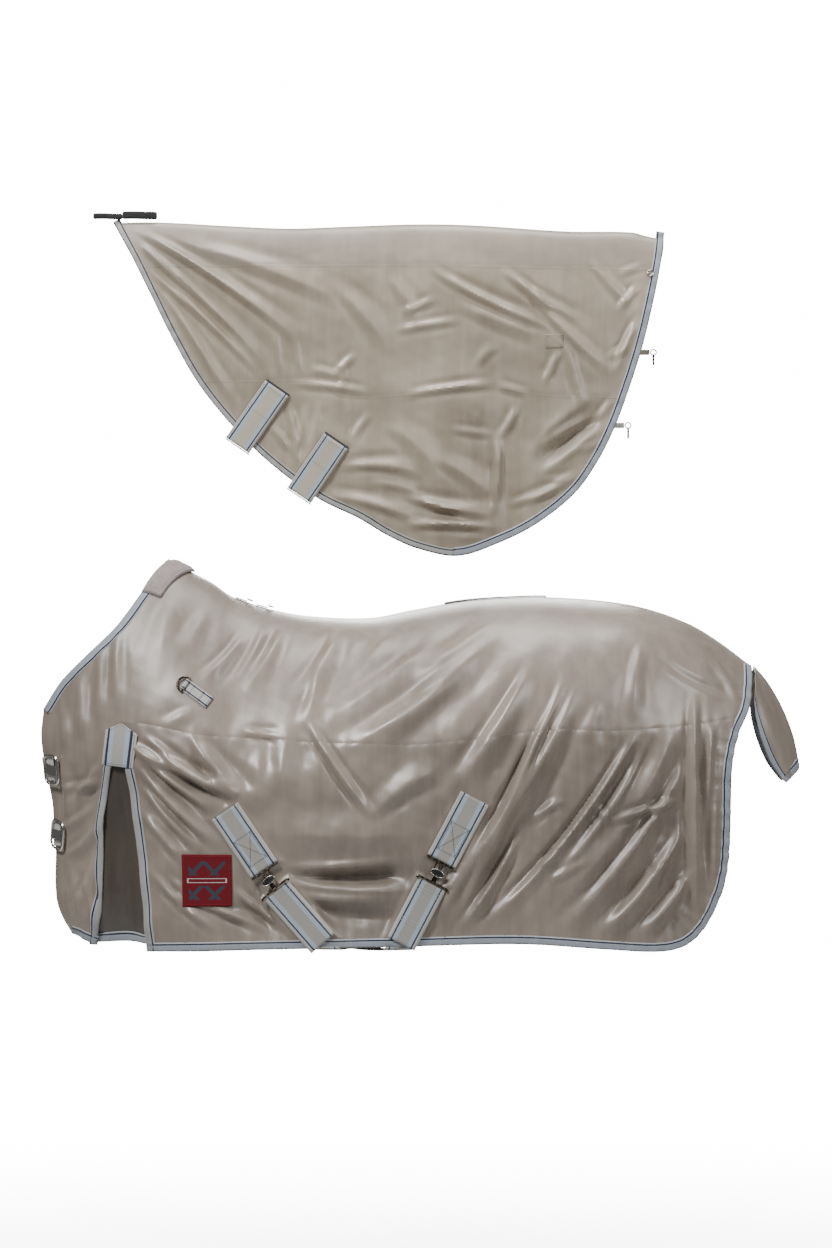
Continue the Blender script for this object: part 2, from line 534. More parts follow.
# each fold: start x, z, end x, z, width, height, bow, share of the width on its far side
bodyFolds = (
    (719, -206, 558, -469, 24, 10, 6, 0.6), (660, -99, 451, -254, 34, 8, 8, 0.7),  # croup, down and forward
    (647, -148, 320, -395, 28, 9, 10, 0.6), (561, -239, 390, -357, 16, 6, 4, 0.6),
    (523, -150, 293, -320, 22, 5, 6, 0.7), (788, -228, 515, -747, 19, 11, 16, 0.5),
    (752, -275, 567, -722, 12, 6, 10, 0.6), (815, -244, 612, -608, 22, 11, 12, 0.5),
    (938, -345, 617, -753, 15, 11, 22, 0.5), (965, -372, 672, -747, 26, 10, 18, 0.6),
    (1019, -329, 729, -758, 30, 9, 26, 0.6), (1040, -404, 783, -763, 22, 9, 18, 0.5),
    (1035, -544, 858, -774, 19, 8, 12, 0.5), (1051, -635, 938, -779, 15, 7, 6, 0.6),
    (1059, -265, 1064, -742, 13, 9, -8, 0.7), (1099, -329, 1083, -565, 10, 6, -5, 0.7),
    (1112, -420, 1100, -700, 9, 5, -6, 0.7), (965, -174, 1147, -276, 8, -4, -14, 0.8),
    (949, -163, 928, -329, 17, 6, -8, 0.7), (858, -281, 826, -372, 15, 5, 0, 0.7),
    (847, -495, 877, -538, 7, 5, 0, 0.6), (877, -538, 1035, -495, 9, 6, 4, 0.5),
    (713, -538, 783, -490, 8, 5, 4, 0.5), (722, -632, 774, -606, 7, 4, 3, 0.5),
    (836, -612, 745, -660, 8, 4, 4, 0.6), (975, -600, 985, -680, 8, 4, 0, 0.6),
    (690, -560, 560, -770, 12, 7, 6, 0.5), (620, -520, 500, -740, 14, 6, 6, 0.6),
    (1115, -158, 1174, -226, 7, 3, 4, 0.7), (1090, -190, 1160, -300, 9, 4, 6, 0.7),
    (-138, -371, 108, -488, 13, 8, -6, 0.5), (-117, -385, 60, -521, 10, 7, -4, 0.5),  # fan behind the gusset
    (-111, -419, 60, -590, 13, 8, -6, 0.5), (-101, -456, 17, -596, 10, 5, -4, 0.6),
    (-104, -510, 10, -640, 11, 5, -4, 0.6), (-85, -640, 60, -772, 10, 5, -4, 0.6),
    (-58, -650, 167, -767, 10, 6, -6, 0.6), (92, -676, 215, -767, 10, 6, -4, 0.6),
    (120, -660, 190, -780, 9, 5, 2, 0.6), (-1, -352, 120, -506, 19, 8, -8, 0.6),
    (-98, -357, 84, -486, 11, 6, -6, 0.6), (207, -330, 186, -491, 26, 4, 0, 0.8),  # flank
    (250, -330, 381, -526, 9, 7, -4, 0.8), (381, -526, 525, -419, 22, 5, 8, 0.7),
    (150, -380, 130, -520, 20, 3, 4, 0.8), (200, -648, 478, -648, 15, -10, -6, 0.8),
    (220, -690, 460, -690, 24, 7, -8, 0.8), (180, -560, 500, -560, 36, 4, -8, 0.9),
    (-186, -410, -262, -505, 12, 6, 6, 0.5), (-180, -450, -276, -470, 10, 5, 4, 0.5),  # chest
    (-192, -542, -267, -617, 12, 6, 6, 0.5), (-200, -500, -280, -560, 10, 5, 5, 0.5),
    (-204, -600, -236, -720, 11, 6, 4, 0.5), (-222, -640, -206, -780, 10, 5, 0, 0.6),
    (-250, -640, -236, -760, 10, 5, 0, 0.6), (-280, -400, -262, -540, 11, 5, 4, 0.6),
    (-155, -127, -160, -300, 11, 4, 0, 0.8), (-190, -165, -196, -340, 12, 4, 0, 0.8),  # below the neckline
    (-236, -215, -228, -372, 12, 5, 0, 0.8), (-278, -270, -262, -400, 10, 4, 0, 0.8),
    (111, -143, 20, -244, 14, 7, 6, 0.6), (154, -127, 96, -246, 13, 5, 4, 0.6),
    (197, -122, 116, -265, 15, 6, 4, 0.7), (320, -121, 229, -276, 19, 7, 6, 0.6),
    (277, -202, 236, -340, 15, 5, 4, 0.7), (-40, -60, -66, -200, 24, 4, 0, 0.8),
    (30, -90, -30, -200, 18, 4, 4, 0.8), (430, -120, 350, -230, 22, 5, 6, 0.7),
    (8, -300, -60, -340, 14, 4, 0, 0.7), (110, -350, 200, -362, 8, 3, 2, 0.7),
)


def creases(x, z, folds, spread=1.2):
    rise = np.zeros(x.shape)
    for ax, az, bx, bz, wide, high, bow, sharp in folds:
        rise += ridgeLine(x, z, (ax, az), (bx, bz), wide * spread, high, bow, sharp)
    return rise


def ripple(x, z, seed, scales=((150, 1.6), (80, 0.8), (38, 0.25))):
    draw = np.random.default_rng(seed)
    rise = np.zeros(x.shape)
    for length, high in scales:
        for _ in range(5):
            aim = draw.uniform(0, math.pi)
            wave = 2 * math.pi / (length * draw.uniform(0.7, 1.4))
            rise += high / 2 * np.sin(wave * (x * math.cos(aim) + z * math.sin(aim)) + draw.uniform(0, 6.3))
    return rise


hemPath = along(hemLine, 260)


def edgeDistance(x, z, path):
    flat = np.stack([x.ravel(), z.ravel()], 1)
    best = np.full(len(flat), 1e9)
    place = np.zeros(len(flat))
    steps = np.r_[0, np.cumsum(np.linalg.norm(np.diff(path, axis=0), axis=1))]
    for k in range(0, len(path), 2):
        gone = np.hypot(flat[:, 0] - path[k, 0], flat[:, 1] - path[k, 1])
        closer = gone < best
        best[closer], place[closer] = gone[closer], steps[k]
    return best.reshape(x.shape), place.reshape(x.shape)


def bodyRelief(x, z):
    x, z = np.broadcast_arrays(np.asarray(x, float), np.asarray(z, float))
    low = np.interp(z, (-420, -300), (1, 0))
    rise = creases(x, z, bodyFolds) * (1.55 + 1.15 * low) + ripple(x, z, 3) * (0.5 + 0.5 * low)
    inward = np.clip((-500 - z) / 300, 0, 1) * np.clip((x - 10) / 150, 0, 1) * np.clip((610 - x) / 160, 0, 1)
    rise -= 16 * inward * inward * (3 - 2 * inward)
    gone, place = edgeDistance(x, z, hemPath)
    pucker = np.sin(place / 5.6 + 1.7 * np.sin(place / 37)) * np.exp(-gone / 26) * 1.3
    rise = rise * np.clip(gone / 60, 0.25, 1) + pucker
    rise = np.where(rise > 0, 21 * np.tanh(rise / 21), rise)
    front = np.clip((x + 322) / 60, 0, 1)
    crown = np.clip((smooth(bodyForm.ridge, x) - z - 2) / 55, 0, 1)  # the cloth lies flat along the ridge
    return rise * front * crown * (1 - 0.85 * nearStrap(x, z))


bodyForm.relief = bodyRelief


# ---- cloth of one side: columns round the prow and along the flank, rows down the cloth ----
sheetPlan = {"prowColumns": 92, "sideColumns": 300, "upperRows": 96, "lowerRows": 116, "thick": 1.6,
             "beginX": 60.0, "endX": 1187.5, "slitX": -146.0}


def sideColumn(turn, x, top, seam, bottom, upperRows, lowerRows, form=bodyForm):
    count = 500
    deepest = -830.0
    z = np.zeros(count)
    angle = np.linspace(0, math.pi / 2, count // 2)
    xs = np.full(count, x, float)
    for _ in range(14 if turn else 1):
        deep, power, crest = smooth(form.depth, xs), 2 / smooth(form.peak, xs), smooth(form.ridge, xs)
        z[:count // 2] = (crest - deep * (1 - np.abs(np.cos(np.r_[angle, angle])) ** power))[:count // 2]
        low = (crest - deep)[count // 2:]
        z[count // 2:] = low + (deepest - low) * np.linspace(0.004, 1, count // 2)
        if turn:
            reach = form.begin - smooth([(a, b) for a, b in form.front], z)
            xs = form.begin - reach * math.sin(turn) ** (2 / form.nose)
    y = form.width(xs, z)
    spots = np.stack([xs, -y, z], 1)
    arc = np.r_[0, np.cumsum(np.linalg.norm(np.diff(spots, axis=0), axis=1))]

    def crossing(curveZ):
        gap = z - curveZ
        below = np.nonzero(gap < 0)[0]
        if not len(below) or below[0] == 0:
            return 0.0 if len(below) else arc[-1]
        k = below[0]
        return arc[k - 1] + (arc[k] - arc[k - 1]) * gap[k - 1] / (gap[k - 1] - gap[k])
    a, b, c = crossing(top(xs)), crossing(seam(xs)), crossing(bottom(xs))
    b = min(max(b, a), c)
    at = np.r_[np.linspace(a, b, upperRows), np.linspace(b, c, lowerRows)[1:]]
    return np.stack([np.interp(at, arc, spots[:, k]) for k in range(3)], 1)


def topOf(x): return np.where(x < -46, smooth(sorted(neckline), x), 500.0)
def seamOf(x): return smooth(seamLine, x)
def hemOf(x): return smooth(hemLine, x)


def gridNormals(grid):
    a, b = np.gradient(grid, axis=0), np.gradient(grid, axis=1)
    n = np.cross(b, a)
    n[..., 1][np.abs(grid[..., 1]) < 0.5] = 0
    return n / np.maximum(np.linalg.norm(n, axis=-1), 1e-9)[..., None]


def buildSide(plan):
    turns = np.linspace(math.pi / 2, 0, plan["prowColumns"])[:-1]
    xs = np.linspace(plan["beginX"], plan["endX"], plan["sideColumns"])
    rows = (plan["upperRows"], plan["lowerRows"])
    columns = [sideColumn(t, plan["beginX"], topOf, seamOf, hemOf, *rows) for t in turns]
    columns += [sideColumn(0.0, x, topOf, seamOf, hemOf, *rows) for x in xs]
    grid = np.stack(columns)
    normals = gridNormals(grid)
    rise = bodyRelief(grid[..., 0], grid[..., 2])
    seamGone = np.abs(grid[..., 2] - seamOf(grid[..., 0]))
    behind = grid[..., 0] > -112
    rise -= 0.8 * np.exp(-(seamGone / 3.5) ** 2) * behind
    rise += 0.7 * np.sin(grid[..., 0] / 5.2 + 2 * np.sin(grid[..., 0] / 43)) * np.exp(-seamGone / 15) * behind
    return grid + normals * (rise + 0.6)[..., None], normals


def cutCloth(name, grid, normals, keepFace, thick):
    columns, rows = grid.shape[:2]
    faces = gridFaces(columns, rows)
    centre = grid.reshape(-1, 3)[faces].mean(1)
    faces = faces[keepFace(centre[:, 0], centre[:, 2], faces[:, 0] % rows)]
    used, faces = np.unique(faces, return_inverse=True)
    faces = faces.reshape(-1, 4)
    spots, out = grid.reshape(-1, 3)[used], normals.reshape(-1, 3)[used]
    edges = np.concatenate([faces[:, [0, 1]], faces[:, [1, 2]], faces[:, [2, 3]], faces[:, [3, 0]]])
    key = np.sort(edges, 1)
    _, first, times = np.unique(key, axis=0, return_index=True, return_counts=True)
    rim = edges[first[times == 1]]
    count = len(spots)
    verts = np.concatenate([spots + out * thick, spots])
    walls = np.stack([rim[:, 1], rim[:, 0], rim[:, 0] + count, rim[:, 1] + count], 1)
    whole = np.concatenate([faces, faces[:, ::-1] + count, walls])
    piece = meshPiece(name, verts * mm, whole)
    piece.data.set_sharp_from_angle(angle=math.radians(60))
    first = piece.data.polygons[len(faces) // 2]
    if first.normal.y > 0 and first.center.z < -0.4:
        piece.data.flip_normals()
    return piece


sideGrid, sideNormals = buildSide(sheetPlan)
upperRows = sheetPlan["upperRows"]


def slitAt(z, line): return smooth(line, z)


def upperFace(x, z, row):
    chest = (row >= upperRows - 1) & (x < slitAt(z, slitFront) - 3) & (x < sheetPlan["slitX"] - 2)
    return (row < upperRows - 1) | chest


def lowerFace(x, z, row):
    return (row >= upperRows - 1) & (x > np.where(z > -372, sheetPlan["slitX"], slitAt(z, slitRear) + 4))


def clothPair(name, keepFace, nodes, material, body, slotName):
    left = cutCloth("left_" + name, sideGrid, sideNormals, keepFace, sheetPlan["thick"])
    right = mirrored(left, "right_" + name)
    for side, piece in (("left", left), ("right", right)):
        finishPiece(piece, body, slotName, material, *[side + n for n in nodes])


clothPair("upper_cloth", upperFace, ("_upper_panel", "_chest_panel"), satin, "sheet",
          "sheet_cloth")
clothPair("lower_cloth", lowerFace, ("_lower_panel",), lowerSatin, "sheet", "sheet_cloth")
print("sheet cloth ready")


# ---- bindings: folded tapes along the outlines ----
def edgeTape(name, path, width, form, folds=True, lift=1.2, thick=2.6, count=None):
    length = np.linalg.norm(np.diff(np.array(path, float), axis=0), axis=1).sum()
    path = along(path, count or max(24, int(length / 5)))
    inner = sideways(path, -width)
    shares = np.linspace(0, 1, 9)
    outer, back = [], []
    for f in shares:
        spot = path + (inner - path) * f
        high = lift + thick * (1 - (2 * f - 1) ** 6) * 0.55 + 1.0
        at, n = form.place(spot[:, 0], spot[:, 1], high, folds)
        outer.append(at)
        back.append(at - n * (high + 1.0))
    ring = np.stack(outer[::-1] + back, 1)  # inner edge, out to the rim, back behind the cloth
    columns = ring.shape[1]
    v = np.r_[shares[::-1], shares]
    steps = np.r_[0, np.cumsum(np.linalg.norm(np.diff(path, axis=0), axis=1))] * mm
    uvs = np.stack(np.broadcast_arrays(steps[:, None], v[None, :]), -1)
    faces = gridFaces(len(path), columns, wrap=True)
    ends = [list(range(columns)), [(len(path) - 1) * columns + k for k in range(columns)][::-1]]
    piece = meshPiece(name, ring.reshape(-1, 3) * mm, [tuple(f) for f in faces] + [tuple(e) for e in ends],
                      uvs.reshape(-1, 2))
    return fixNormals(piece)


def stitchPath(path, inset, form, lift, folds=True, count=None):
    path = along(path, count or max(12, int(len(path) * 12)))
    line = sideways(path, -inset)
    at, _ = form.place(line[:, 0], line[:, 1], lift, folds)
    return at


def mirrorLines(lines): return [line * (1, -1, 1) for line in lines]


def tapePair(name, path, width, node, material=bindingTape, form=bodyForm, body="sheet", seams=(0.78,),
             slotName="edge_binding", thread=navyThread):
    left = edgeTape("left_" + name, path, width, form)
    right = mirrored(left, "right_" + name)
    for piece in (left, right):
        finishPiece(piece, body, slotName, material)
    if node:
        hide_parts(node)
    lines = [stitchPath(path, width * s, form, 4.5) for s in seams]
    stitches(name + "_stitches", lines + mirrorLines(lines), thread, body)
    return left, right


hemRear = [(-86, -811)] + [p for p in hemLine if p[0] > -100][1:]
hemFront = [(-257, -779), (-245, -783), (-203, -800)]
tapePair("neckline_tape", [(-52, 17)] + list(neckline[1:-1]) + [(-317, -303)], 19, "neckline_bindings")
tapePair("hem_tape", hemRear, 19, "hem_bindings")
tapePair("chest_hem_tape", hemFront, 19, "chest_hem_bindings")
slitRearDown = [(x, z) for z, x in slitRear if z > -812][::-1]
slitFrontUp = [(x, z) for z, x in slitFront if z > -805]
tapePair("gusset_rear_tape", slitRearDown, 19, "gusset_rear_bindings", gussetTape)
tapePair("gusset_front_tape", slitFrontUp, 15, "gusset_front_bindings", gussetTape)
print("bindings ready")


# ---- the dark cloth inside the gusset, a pleat folded inwards ----
def pleatSpot(down, across, lift):
    z = np.asarray(-396 - 400 * down, float)
    left, right = slitAt(z, slitFront) - 10, slitAt(z, slitRear) + 10
    sink = -2.5 - np.sin(across * math.pi) * (2 + 26 * down) + 3.0 * np.sin(across * 9.5) * down
    return bodyForm.place(left + (right - left) * across, z, sink + lift, False)


def gussetCloth():
    down, across = np.meshgrid(np.linspace(0, 1, 60), np.linspace(0, 1, 31), indexing="ij")
    at, n = pleatSpot(down, across, 0.0)
    return slabPiece("left_gusset_cloth", at, n, 1.4, np.stack([down * 0.4, across * 0.1], -1))


def gussetHem():
    down, across = np.meshgrid(np.linspace(0.953, 1.0, 9), np.linspace(0.04, 0.96, 31), indexing="ij")
    at, n = pleatSpot(down, across, 1.6)
    return slabPiece("left_gusset_hem", at, n, 1.6, np.stack([across * 0.1, (1.0 - down) / 0.047], -1), crown=0.4)


gussets = [gussetCloth()]
gussets.append(mirrored(gussets[0], "right_gusset_cloth"))
for piece in gussets:
    finishPiece(piece, "sheet", "gusset_cloth", lining)
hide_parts("gusset_inserts")
pairOfHem = [gussetHem()]
pairOfHem.append(mirrored(pairOfHem[0], "right_gusset_hem"))
for piece in pairOfHem:
    finishPiece(piece, "sheet", "edge_binding", bindingTape)


# ---- webbing laid on a form ----
def webOn(name, form, start, end, width, lift, thick=2.2, folds=False, stations=None):
    run = np.array([end[0] - start[0], end[1] - start[1]], float)
    long = np.linalg.norm(run)
    run /= long
    side = np.array([run[1], -run[0]])
    stations = stations or max(8, int(long / 5))
    t = np.linspace(0, long, stations)
    v = np.linspace(-1, 1, 13)
    x = start[0] + run[0] * t[:, None] + side[0] * v[None, :] * width / 2
    z = start[1] + run[1] * t[:, None] + side[1] * v[None, :] * width / 2
    at, n = form.place(x, z, lift, folds)
    uvs = np.stack(np.broadcast_arrays(t[:, None] * mm, (v[None, :] + 1) / 2), -1)
    return slabPiece(name, at, n, thick, uvs, crown=0.4)


def lineOn(form, start, end, width, marks, lift, folds=False):
    run = np.array([end[0] - start[0], end[1] - start[1]], float)
    long = np.linalg.norm(run)
    run /= long
    side = np.array([run[1], -run[0]])
    marks = along(marks, 40) if len(marks) == 2 else along(marks, 30 * len(marks))
    x = start[0] + run[0] * marks[:, 0] * long + side[0] * marks[:, 1] * width / 2
    z = start[1] + run[1] * marks[:, 0] * long + side[1] * marks[:, 1] * width / 2
    return form.place(x, z, lift, folds)[0]


def pairOf(piece, name, body, slotName, material, *nodes):
    other = mirrored(piece, name)
    for each in (piece, other):
        finishPiece(each, body, slotName, material)
    if nodes:
        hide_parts(*nodes)
    return other


surcingles = {"front": ((75, -514), (158, -636), (184, -679), (283, -797)),
              "rear": ((598, -486), (528, -618), (508, -666), (442, -797))}
tabWidth, strapWidth = 66, 64
boxMarks = (((0.44, -0.62), (0.44, 0.62)), ((0.44, -0.62), (0.86, -0.62)), ((0.44, 0.62), (0.86, 0.62)),
            ((0.86, -0.62), (0.86, 0.62)), ((0.44, -0.62), (0.86, 0.62)), ((0.44, 0.62), (0.86, -0.62)))
sideMarks = (((0.02, -0.93), (0.98, -0.93)), ((0.02, 0.93), (0.98, 0.93)), ((0.03, -0.9), (0.03, 0.9)))
for place, (tabTop, tabEnd, strapTop, strapEnd) in surcingles.items():
    tab = webOn("left_" + place + "_tab", bodyForm, tabTop, tabEnd, tabWidth, 2.8)
    pairOf(tab, "right_" + place + "_tab", "sheet", "striped_webbing", webbing, place + "_surcingle_tabs")
    lines = [lineOn(bodyForm, tabTop, tabEnd, tabWidth, m, 5.6) for m in boxMarks]
    stitches(place + "_tab_box", lines + mirrorLines(lines), boxThread, "sheet", "box")
    lines = [lineOn(bodyForm, tabTop, tabEnd, tabWidth, m, 5.4) for m in sideMarks]
    stitches(place + "_tab_rim", lines + mirrorLines(lines), paleThread, "sheet", "rim")
print("tabs ready")


# ---- belts: near end up to the hook, fold under the hem, across beneath ----
beltFold = {"front": (283.0, 271.0), "rear": (442.0, 276.9)}


def beltEnd(place, side):
    _, _, top, end = surcingles[place]
    stop = (end[0] - (end[0] - top[0]) * 0.02, -790.0)
    name = side + "_" + place + "_belt"
    strap = webOn(name + "_strap", bodyForm, top, stop, strapWidth, 5.4)
    if side == "right":
        strap.data.transform(Matrix.Scale(-1, 4, (0, 1, 0)))
        strap.data.flip_normals()
    return strap


def crossBelt(place, other, sag):
    (x0, h0), (x1, h1) = beltFold[place], beltFold[other]
    f = np.linspace(0, 1, 61)
    reach = min(h0, h1) - 2
    y = reach * (2 * f - 1)
    z = -801.5 - sag * (1 - (2 * f - 1) ** 2)
    curlNear, curlFar = np.clip((f - 0.0) / 0.03, 0, 1), np.clip((1 - f) / 0.03, 0, 1)
    z = z + 5 * (1 - np.minimum(curlNear, curlFar)) ** 2
    x = x0 + (x1 - x0) * f
    lean = np.array([x1 - x0, 2 * reach, 0]) / math.hypot(x1 - x0, 2 * reach)
    side = np.array([lean[1], -lean[0], 0])
    v = np.linspace(-1, 1, 13)
    spots = np.stack([x, y, z], 1)[:, None, :] + side * (v[None, :, None] * strapWidth / 2)
    n = np.broadcast_to(np.array([0, 0, -1.0]), spots.shape)
    uvs = np.stack(np.broadcast_arrays((f * 2 * reach * mm)[:, None], (v[None, :] + 1) / 2), -1)
    return slabPiece(place + "_under_belt", spots, n, 2.2, uvs, crown=0.3)


for place, other, sag in (("front", "rear", 1.5), ("rear", "front", 8.5)):
    for side in ("left", "right"):
        strap = beltEnd(place, side)
        finishPiece(strap, side + "_" + place + "_belt", "striped_webbing", webbing,
                    side + "_" + place + "_belt_end")
    finishPiece(crossBelt(place, other, sag), "sheet", "striped_webbing", webbing, place + "_cross_belt")
print("belts ready")


# ---- fitting helpers: swept rods, rounded plates and a frame on the cloth ----
def seatOn(form, x, z, degrees, lift):
    n = form.out(np.array(float(x)), np.array(float(z)))
    lean = np.array([math.cos(math.radians(degrees)), 0, math.sin(math.radians(degrees))])
    run = lean - n * lean.dot(n)
    run /= np.linalg.norm(run)
    across = np.cross(n, run)
    spot = np.array([x, -form.width(np.array(float(x)), np.array(float(z))), z]) + n * lift
    return Matrix(((run[0], across[0], n[0], spot[0]), (run[1], across[1], n[1], spot[1]),
                   (run[2], across[2], n[2], spot[2]), (0, 0, 0, 1)))


def moved(points, seat):
    return np.array([tuple(seat @ Vector(p)) for p in points])


def rodPiece(name, path, radius, sides=12, closed=False, flatten=1.0):
    path = np.asarray(path, float)
    count = len(path)
    way = (np.roll(path, -1, 0) - np.roll(path, 1, 0)) if closed else np.gradient(path, axis=0)
    way /= np.linalg.norm(way, axis=1)[:, None]
    side = np.cross(way[0], (0.31, 0.72, 0.62))
    rings = []
    for spot, forward in zip(path, way):
        side = side - forward * side.dot(forward)
        side /= np.linalg.norm(side)
        up = np.cross(forward, side)
        turn = np.linspace(0, 2 * math.pi, sides, endpoint=False)
        rings.append(spot + radius * (np.cos(turn)[:, None] * side + flatten * np.sin(turn)[:, None] * up))
    verts = np.concatenate(rings)
    faces = [tuple(f) for f in gridFaces(count, sides, wrap=True)]
    if closed:
        last = (count - 1) * sides
        gaps = [np.linalg.norm(rings[0] - np.roll(rings[-1], -k, 0)) for k in range(sides)]
        k = int(np.argmin(gaps))
        faces += [(last + (j + k) % sides, last + (j + 1 + k) % sides, (j + 1) % sides, j) for j in range(sides)]
    else:
        faces += [tuple(range(sides)), tuple((count - 1) * sides + j for j in range(sides))[::-1]]
    return fixNormals(meshPiece(name, verts * mm, faces))


def plateOf(name, outline, thick, seat, bevel=0.8, hole=None):
    work = bmesh.new()
    loops = []
    for ring in [outline] + ([hole] if hole is not None else []):
        verts = [work.verts.new((x, y, 0)) for x, y in ring]
        loops += [work.edges.new((verts[i], verts[(i + 1) % len(verts)])) for i in range(len(verts))]
    bmesh.ops.triangle_fill(work, edges=loops, use_beauty=True)
    faces = list(work.faces)
    grown = bmesh.ops.extrude_face_region(work, geom=faces)
    raised = [v for v in grown["geom"] if isinstance(v, bmesh.types.BMVert)]
    bmesh.ops.translate(work, verts=raised, vec=(0, 0, thick))
    bmesh.ops.recalc_face_normals(work, faces=work.faces)
    rims = [e for e in work.edges if len(e.link_faces) == 2 and e.calc_face_angle() > 1.2
            and abs(e.verts[0].co.z - e.verts[1].co.z) < 1e-6]
    bmesh.ops.bevel(work, geom=rims, offset=bevel, segments=3, affect="EDGES", profile=0.5)
    bmesh.ops.transform(work, matrix=Matrix.Scale(mm, 4) @ seat, verts=work.verts)
    mesh = bpy.data.meshes.new(name)
    work.to_mesh(mesh)
    work.free()
    piece = bpy.data.objects.new(name, mesh)
    bpy.context.scene.collection.objects.link(piece)
    piece.data.shade_smooth()
    return piece


def roundRect(long, wide, radius, steps=7):
    corners = ((long / 2 - radius, wide / 2 - radius, 0), (-long / 2 + radius, wide / 2 - radius, 90),
               (-long / 2 + radius, -wide / 2 + radius, 180), (long / 2 - radius, -wide / 2 + radius, 270))
    bends = [(x, y, math.radians(a + 90 * k / steps)) for x, y, a in corners for k in range(steps + 1)]
    return [(x + radius * math.cos(a), y + radius * math.sin(a)) for x, y, a in bends]


def bothSides(piece, name, bodies, slotName, material, nodesOf=()):
    pieces = [piece, mirrored(piece, name)]
    for side, each, body in zip(("left_", "right_"), pieces, bodies):
        finishPiece(each, body, slotName, material, *[side + n for n in nodesOf])
    return pieces


# ---- surcingle hooks: a dark oval head with a bright rim, its neck and the cross bar ----
hookPlan = {"headLong": 30, "headWide": 15, "headThick": 3.4, "neckWide": 8.5, "neckLong": 15, "span": 69,
            "bar": 2.4}


def headingOf(start, end): return math.degrees(math.atan2(end[1] - start[1], end[0] - start[0]))


def makeHook(place, plan):
    tabTop, tabEnd, strapTop, strapEnd = surcingles[place]
    run = np.array([strapEnd[0] - strapTop[0], strapEnd[1] - strapTop[1]], float)
    run /= np.linalg.norm(run)
    spot = np.array(strapTop) - run * (4.1 + plan["neckLong"] + 7)
    seat = seatOn(bodyForm, spot[0], spot[1], headingOf(strapTop, strapEnd), 7.6)
    turn = np.linspace(0, 2 * math.pi, 40, endpoint=False)
    head = [(plan["headWide"] / 2 * math.cos(a), plan["headLong"] / 2 * math.sin(a)) for a in turn]
    wide, long = plan["neckWide"] / 2, plan["neckLong"]
    neck = [(2, -3.4), (8, -wide), (long + 5, -wide - 1.5), (long + 9, -6), (long + 9, 6),
            (long + 5, wide + 1.5), (8, wide), (2, 3.4)]
    bodies = ["left_" + place + "_belt", "right_" + place + "_belt"]
    oval = plateOf("left_" + place + "_hook_head", head, plan["headThick"], seat, 1.0)
    bothSides(oval, "right_" + place + "_hook_head", bodies, "black_fitting", blackFitting, (place + "_hook",))
    rimPath = [(x * 0.97, y * 0.97, plan["headThick"] - 0.4) for x, y in head]
    rim = rodPiece("left_" + place + "_hook_rim", moved(rimPath, seat), 0.75, 8, closed=True)
    bothSides(rim, "right_" + place + "_hook_rim", bodies, "nickel_metal", nickel)
    stem = plateOf("left_" + place + "_hook_neck", neck, 2.4, seat @ Matrix.Translation((0, 0, 0.2)), 0.7)
    bothSides(stem, "right_" + place + "_hook_neck", bodies, "bronze_metal", bronze)
    reach, at = plan["span"] / 2, plan["neckLong"] + 7
    loop = [(at, -reach + 2, 1.6), (at, reach - 2, 1.6), (at + 1.2, reach, 1.6), (at + 5, reach + 0.2, 1.2)]
    loop = [(at + 5, -reach - 0.2, 1.2), (at + 1.2, -reach, 1.6)] + loop
    bar = rodPiece("left_" + place + "_hook_bar", moved(along(loop, 60), seat), plan["bar"])
    bothSides(bar, "right_" + place + "_hook_bar", bodies, "bronze_metal", bronze)


for place in surcingles:
    makeHook(place, hookPlan)
print("hooks ready")


# ---- stitched box and overlap on the hanging straps ----
for place, (_, _, strapTop, strapEnd) in surcingles.items():
    for side in ("left", "right"):
        marks = (((0.10, -0.86), (0.10, 0.86)), ((0.155, -0.86), (0.155, 0.86)))
        if place == "rear":
            marks += (((0.60, -0.9), (0.60, 0.9)), ((0.64, -0.9), (0.64, 0.9)))
        lines = [lineOn(bodyForm, strapTop, strapEnd, strapWidth, m, 8.4) for m in marks]
        lines = lines if side == "left" else mirrorLines(lines)
        stitches(side + "_" + place + "_strap_stitches", lines, paleThread, side + "_" + place + "_belt",
                 "rim")


# ---- patches, label, ridge tape and withers pad ----
def patchGrid(corners, rows, columns, form, lift, apex=None):
    (ax, az), (bx, bz), (cx, cz), (dx, dz) = corners  # top left, top right, low right, low left
    s, t = np.meshgrid(np.linspace(0, 1, rows), np.linspace(0, 1, columns), indexing="ij")
    x = (1 - s) * ((1 - t) * ax + t * bx) + s * ((1 - t) * dx + t * cx)
    z = (1 - s) * ((1 - t) * az + t * bz) + s * ((1 - t) * dz + t * cz)
    if apex:
        z = z + (1 - s) * apex * (1 - np.abs(2 * t - 1))
    at, n = form.place(x, z, lift, False)
    return at, n, np.stack([t, 1 - s], -1)


at, n, uvs = patchGrid(((-176, -346), (-109, -356), (-118, -426), (-184, -418)), 40, 34, bodyForm, 4.2, 19)
patch = slabPiece("left_gusset_patch", at, n, 2.0, np.stack([(at[..., 2]) * mm, uvs[..., 0]], -1), crown=0.5)
patchBands = ((0.0, greyEdge), (0.085, navyLine), (0.155, skyBand), (0.29, rgba(0.40, 0.385, 0.355)),
              (0.66, skyBand), (0.80, navyLine), (0.885, greyEdge))
patchWeb = stripedFinish("patchWebbing", patchBands)
pairOf(patch, "right_gusset_patch", "sheet", "striped_webbing", patchWeb, "gusset_patches")
corner = [(-170, -349), (-143, -334), (-114, -358), (-122, -421), (-179, -414), (-170, -349)]
lines = [bodyForm.place(*along(corner[i:i + 2], 30).T, 6.6, False)[0] for i in range(len(corner) - 1)]
stitches("gusset_patch_stitches", lines + mirrorLines(lines), boxThread, "sheet", "patch")

